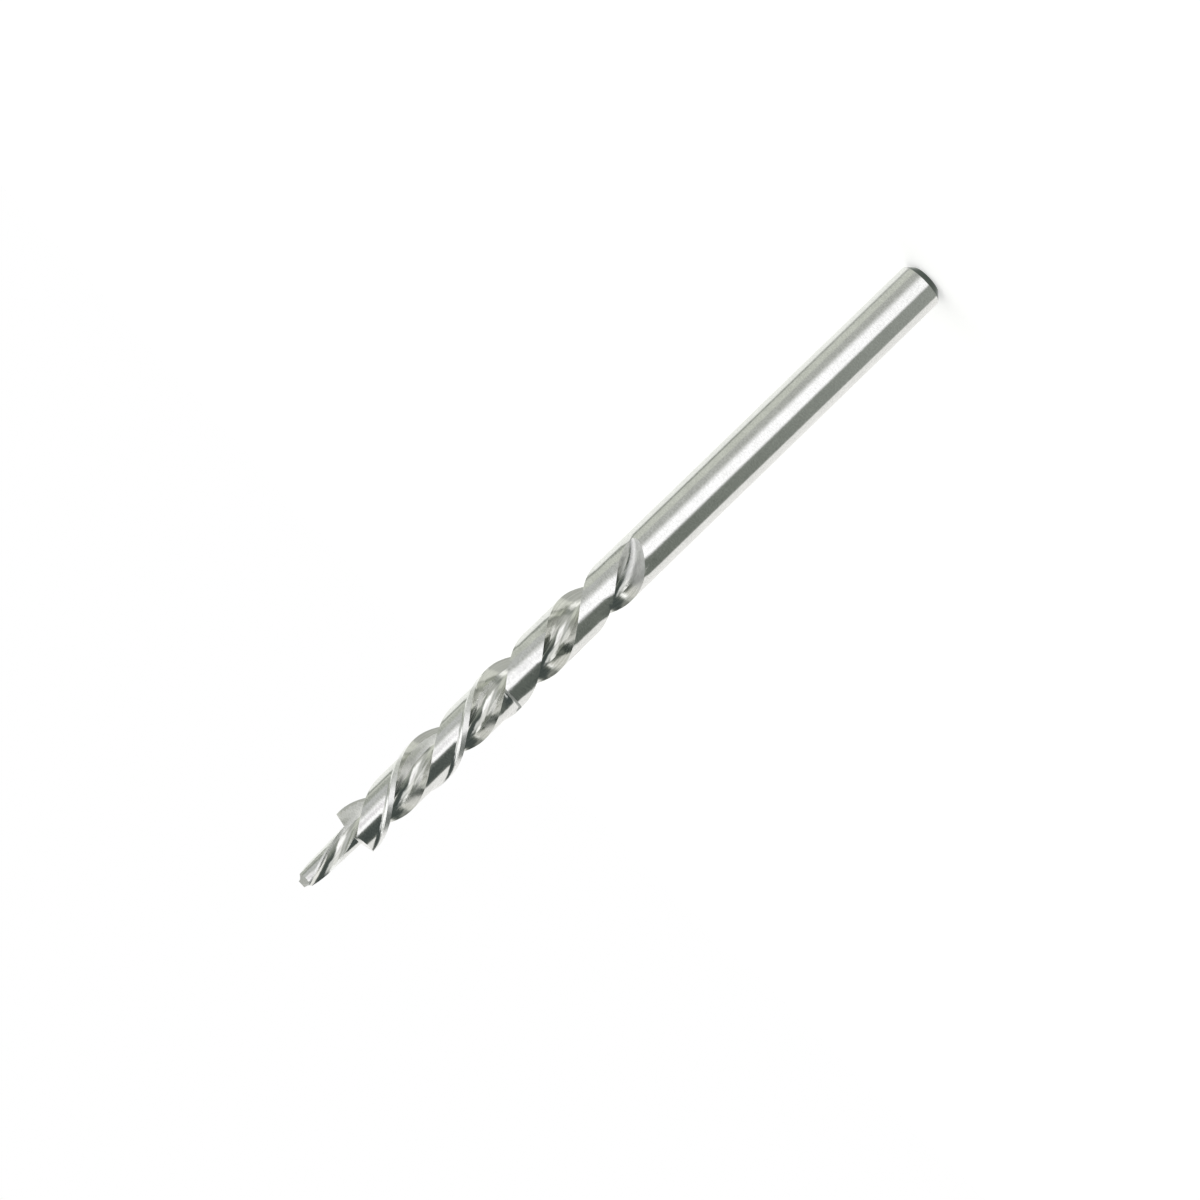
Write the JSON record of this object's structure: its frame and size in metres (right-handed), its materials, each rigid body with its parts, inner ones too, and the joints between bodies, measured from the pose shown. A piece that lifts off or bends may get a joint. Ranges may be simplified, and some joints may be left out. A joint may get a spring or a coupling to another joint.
{
  "type": "step drill bit",
  "caption": "Stepped twist drill: slim fluted pilot, flat-shouldered spiral body with raised margins, plain round chamfered shank.",
  "frame": {"origin": "centre of the flat end face of the shank", "axes": "+Z along the axis of the bit, from the shank end to the pilot's point; +X along a cutting lip at the point"},
  "size_m": [0.0094, 0.0094, 0.16],
  "materials": {
    "ground_steel": "ground"
  },
  "bodies": {
    "root": {"drill_bit": "ground_steel"}
  },
  "joints": []
}
